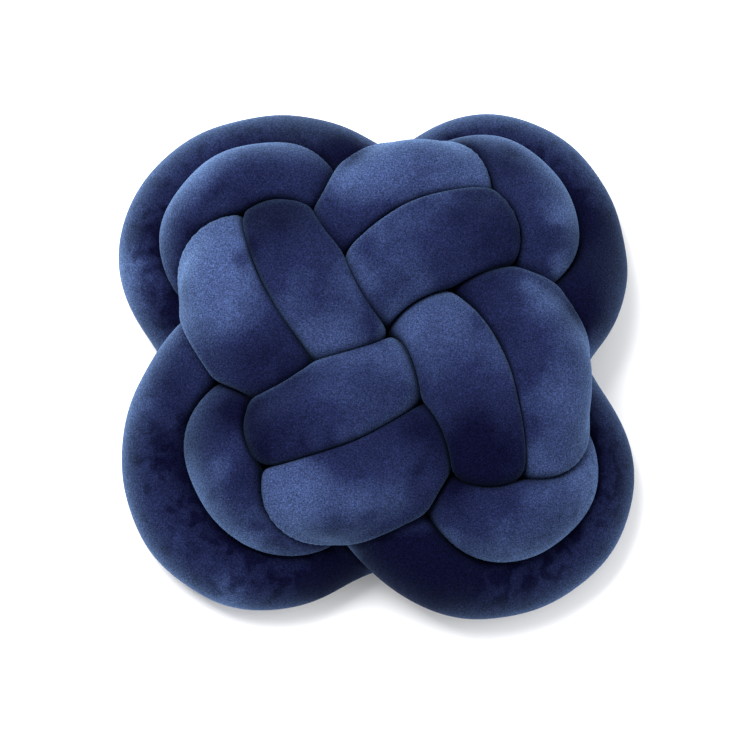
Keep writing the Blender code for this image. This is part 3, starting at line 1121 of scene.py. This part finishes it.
@dataclass(frozen=True)
class StuffedTube:
    """One of the cushion's two tubes.

    Attributes:
        kind: Which tube it is.
        node: The frame's solid that it stands for.
        slot: The record's material slot; not used.
        stations: Sections along the tube.
        sides: Rays in each section.
        section: How its sections give way.
        handwork: Its small unevenness.
        pile: How its pile lies.
        finish: What covers it.
    """

    kind: TubeKind
    node: str
    slot: str
    stations: int
    sides: int
    section: StuffedSection
    handwork: HandMade
    pile: BrushedPile
    finish: PlushFinish

    def skin(
        self, spine: Spine, feelers: np.ndarray
    ) -> tuple[np.ndarray, np.ndarray, np.ndarray]:
        """Skin points on a grid of distance along the tube and turn round it.

        A point is c(s) + r(s, a) n(s, a) for the middle c, the ray n and the section's reach r
        with the handwork's relief, which shows where nothing presses.

        Args:
            spine: The tube's stations and rays.
            feelers: Points along the middles of both tubes.

        Returns:
            Points, stations by rays by three, with the depth of the dents in them, and the mask of
            the painted shade in the grooves between the tubes.
        """
        section = self.section
        pressed = evened(section.pressed(spine, feelers), *section.skin_evening)
        floor = section.floored(spine)
        swelling = section.swelling(spine)
        radii = section.filled(pressed, floor, swelling, spine.turns)
        relief = self.handwork.lumps(spine) - self.handwork.puckers(spine, section.radius)
        free = np.clip(pressed / radii[:, None], 0.0, 1.0) ** section.ironing
        reach = section.eased(radii, pressed, floor, swelling) + relief * free
        reach = np.minimum(np.minimum(reach, pressed), floor)
        points = spine.middle[:, None] + reach[:, :, None] * spine.rays
        points = evened(points, *section.skin_evening)
        dents = self.handwork.dents(self.kind, points, spine.rays)
        points -= dents[:, :, None] * spine.rays
        points[:, :, 2] = np.maximum(points[:, :, 2], 0.0)
        # Mask of the painted shade in the grooves: 0 where a neighbour presses, 1 a little way
        # clear.
        groove_unshaded = np.clip((pressed - radii[:, None]) / section.groove_shade_reach, 0.0, 1.0)
        return points, dents, evened(groove_unshaded, *section.groove_shade_evening)

    def layers(
        self, spine: Spine, skin: np.ndarray, dents: np.ndarray, groove_unshaded: np.ndarray
    ) -> dict[str, np.ndarray]:
        """Values on each skin point for the finish to read.

        Args:
            spine: The tube's stations and rays.
            skin: Skin points, stations by rays by three.
            dents: Depth of the dents in them.
            groove_unshaded: Mask of the painted groove shade on them.

        Returns:
            The painted light and shade of the pile ("nap"), the mask of the painted groove shade
            ("room"), the painted highlight on the skin's edge ("glow") and how ruffled the pile is
            ("handled").
        """
        outward = skin[:, :, :2] / np.linalg.norm(skin[:, :, :2], axis=2, keepdims=True)
        facing_out = (spine.rays[:, :, :2] * outward).sum(axis=2)
        painted_nap_shading = self.pile.painted_nap_shading(self.kind, skin, spine, facing_out)
        # Painted shade in the dents and creases.
        painted_nap_shading = painted_nap_shading - self.pile.dent_shade * dents / MM
        # Painted highlight on the skin's edge, kept out of the painted groove shade.
        painted_edge_light = self.pile.painted_edge_light(spine.rays, facing_out, painted_nap_shading) * groove_unshaded
        return {"painted_nap_shading": painted_nap_shading, "groove_unshaded": groove_unshaded, "painted_edge_light": painted_edge_light, "handled": self.pile.handled(skin)}

    def mesh(self, skin: np.ndarray, layers: dict[str, np.ndarray]) -> bpy.types.Mesh:
        """Join the grid of skin points into four-sided faces that look outwards, closed both ways.

        Args:
            skin: Skin points, stations by rays by three.
            layers: Values on each of them, by the attribute's name.

        Returns:
            The mesh.
        """
        mesh = bpy.data.meshes.new(self.node + "_plush")
        corner = np.arange(self.stations * self.sides).reshape(self.stations, self.sides)
        ahead = np.roll(corner, -1, axis=0)
        beside = np.roll(corner, -1, axis=1)
        across = np.roll(ahead, -1, axis=1)
        faces = np.stack([corner, ahead, across, beside], axis=2).reshape(-1, 4)
        mesh.vertices.add(corner.size)
        mesh.vertices.foreach_set("co", skin.reshape(-1))
        mesh.loops.add(faces.size)
        mesh.loops.foreach_set("vertex_index", faces.reshape(-1).astype(np.int32))
        mesh.polygons.add(len(faces))
        mesh.polygons.foreach_set("loop_start", np.arange(0, faces.size, 4, dtype=np.int32))
        mesh.polygons.foreach_set("use_smooth", np.ones(len(faces), dtype=bool))
        mesh.update(calc_edges=True)
        mesh.validate()
        for name, values in layers.items():
            layer = mesh.attributes.new(name, "FLOAT", "POINT")
            layer.data.foreach_set("value", values.reshape(-1).astype(np.float32))
        return mesh

    def build(self, line: ClosedLine, feelers: np.ndarray) -> bpy.types.Object:
        """Make the tube, dress it and put it in the frame.

        Args:
            line: The tube's middle line.
            feelers: Points along the middles of both tubes.

        Returns:
            The finished piece.
        """
        spine = Spine.on(line, self.stations, self.sides)
        skin, dents, groove_unshaded = self.skin(spine, feelers)
        mesh = self.mesh(skin, self.layers(spine, skin, dents, groove_unshaded))
        mesh.materials.append(self.finish.build())
        piece = bpy.data.objects.new(self.node + "_plush", mesh)
        bpy.context.scene.collection.objects.link(piece)
        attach(piece, "root")
        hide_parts(self.node)
        return piece


@dataclass(frozen=True)
class KnotCushion:
    """The whole cushion: two stuffed tubes that press on each other.

    Attributes:
        tubes: The outer and the inner tube.
    """

    tubes: tuple[StuffedTube, ...]

    def build(self) -> list[bpy.types.Object]:
        """Feel where both tubes run, then make each of them."""
        lines = [route_line(tube.kind) for tube in self.tubes]
        steps = [tube.section.feeler_step for tube in self.tubes]
        counts = [int(line.length() / step) for line, step in zip(lines, steps)]
        feelers = np.vstack([line.stations(count) for line, count in zip(lines, counts)])
        return [tube.build(line, feelers) for tube, line in zip(self.tubes, lines)]


@dataclass(frozen=True)
class Studio:
    """Plain pale floor and soft studio light.

    Attributes:
        floor_size: Side of the square floor.
        floor_colour: Colour of the floor.
        sky: Strength of the even light from all round.
        sky_colour: Colour of that light.
        aim: The point that the lamps look at.
        lamps: Name, place, side and power in watts of each square lamp.
    """

    floor_size: float = 14.0
    floor_colour: str = "f4f5f7"
    sky: float = 1.0
    sky_colour: str = "ffffff"
    aim: tuple[float, float, float] = (0.0, 0.0, 0.08)
    lamps: tuple[tuple[str, tuple[float, float, float], float, float], ...] = (
        ("key_lamp", (-0.8, 0.6, 2.5), 1.4, 110.0),
        ("fill_lamp", (1.8, -0.6, 2.0), 1.6, 18.0),
    )

    def paper(self) -> bpy.types.Material:
        """Matt studio paper: uncoated, so that it shows no lamp and only the soft shadow."""
        paper = bpy.data.materials.new("matt_studio_paper")
        paper.use_nodes = True
        shader = paper.node_tree.nodes["Principled BSDF"]
        shader.inputs["Base Color"].default_value = linear_colour(self.floor_colour)
        shader.inputs["Roughness"].default_value = 0.95
        return paper

    def lay_floor(self) -> None:
        """Lay the floor as one square of paper."""
        half = self.floor_size / 2.0
        corners = [(-half, -half, 0.0), (half, -half, 0.0), (half, half, 0.0), (-half, half, 0.0)]
        mesh = bpy.data.meshes.new("floor")
        mesh.from_pydata(corners, [], [(0, 1, 2, 3)])
        mesh.materials.append(self.paper())
        floor = bpy.data.objects.new("floor", mesh)
        bpy.context.scene.collection.objects.link(floor)

    def build(self) -> None:
        """Lay the floor, set the even light and hang the lamps."""
        self.lay_floor()
        world = bpy.data.worlds.new("even_light")
        world.use_nodes = True
        background = world.node_tree.nodes["Background"]
        background.inputs["Color"].default_value = linear_colour(self.sky_colour)
        background.inputs["Strength"].default_value = self.sky
        bpy.context.scene.world = world
        for name, place, size, power in self.lamps:
            data = bpy.data.lights.new(name, "AREA")
            data.shape, data.size, data.energy = "SQUARE", size, power
            lamp = bpy.data.objects.new(name, data)
            lamp.location = place
            heading = Vector(self.aim) - Vector(place)
            lamp.rotation_euler = heading.to_track_quat("-Z", "Y").to_euler()
            bpy.context.scene.collection.objects.link(lamp)


@dataclass(frozen=True)
class PhotoCamera:
    """Camera at the photograph's angle to the cushion's face.

    Attributes:
        elevation: Angle above the floor, in degrees.
        distance: Distance to the point looked at.
        frame_width: Width of the picture at that point.
        target: The point looked at.
        sensor_mm: Width of the camera's sensor.
    """

    elevation: float = 74.0
    distance: float = 6.0
    frame_width: float = 0.654
    target: tuple[float, float, float] = (-0.0003, -0.0159, 0.060)
    sensor_mm: float = 36.0

    def build(self) -> None:
        """Set the camera up, looking at its target with the top of the face up."""
        data = bpy.data.cameras.new("photo_camera")
        data.sensor_width = self.sensor_mm
        data.lens = self.sensor_mm * self.distance / self.frame_width
        camera = bpy.data.objects.new("photo_camera", data)
        tilt = np.radians(self.elevation)
        back = Vector((0.0, -np.cos(tilt), np.sin(tilt)))
        camera.location = Vector(self.target) + back * self.distance
        camera.rotation_euler = (-back).to_track_quat("-Z", "Y").to_euler()
        bpy.context.scene.collection.objects.link(camera)
        bpy.context.scene.camera = camera


def main() -> None:
    """Build the cushion, the studio and the camera."""
    logging.basicConfig(level=logging.INFO, format="%(name)s: %(message)s")
    bpy.context.scene.view_settings.view_transform = "Standard"
    section, pile = StuffedSection(), BrushedPile()
    outer = StuffedTube(
        TubeKind.OUTER, "outer_tube", "outer_plush", 1000, 90, section, HandMade(seed=7), pile,
        PlushFinish("navy_crystal_velvet_outer"),
    )
    inner = StuffedTube(
        TubeKind.INNER, "inner_tube", "inner_plush", 840, 90, section, HandMade(seed=19), pile,
        PlushFinish("navy_crystal_velvet_inner"),
    )
    pieces = KnotCushion(tubes=(outer, inner)).build()
    for piece in pieces:
        LOG.info("%s: %d faces", piece.name, len(piece.data.polygons))
    Studio().build()
    PhotoCamera().build()
    LOG.info("%d pieces built", len(pieces))


if __name__ == "__main__":
    main()
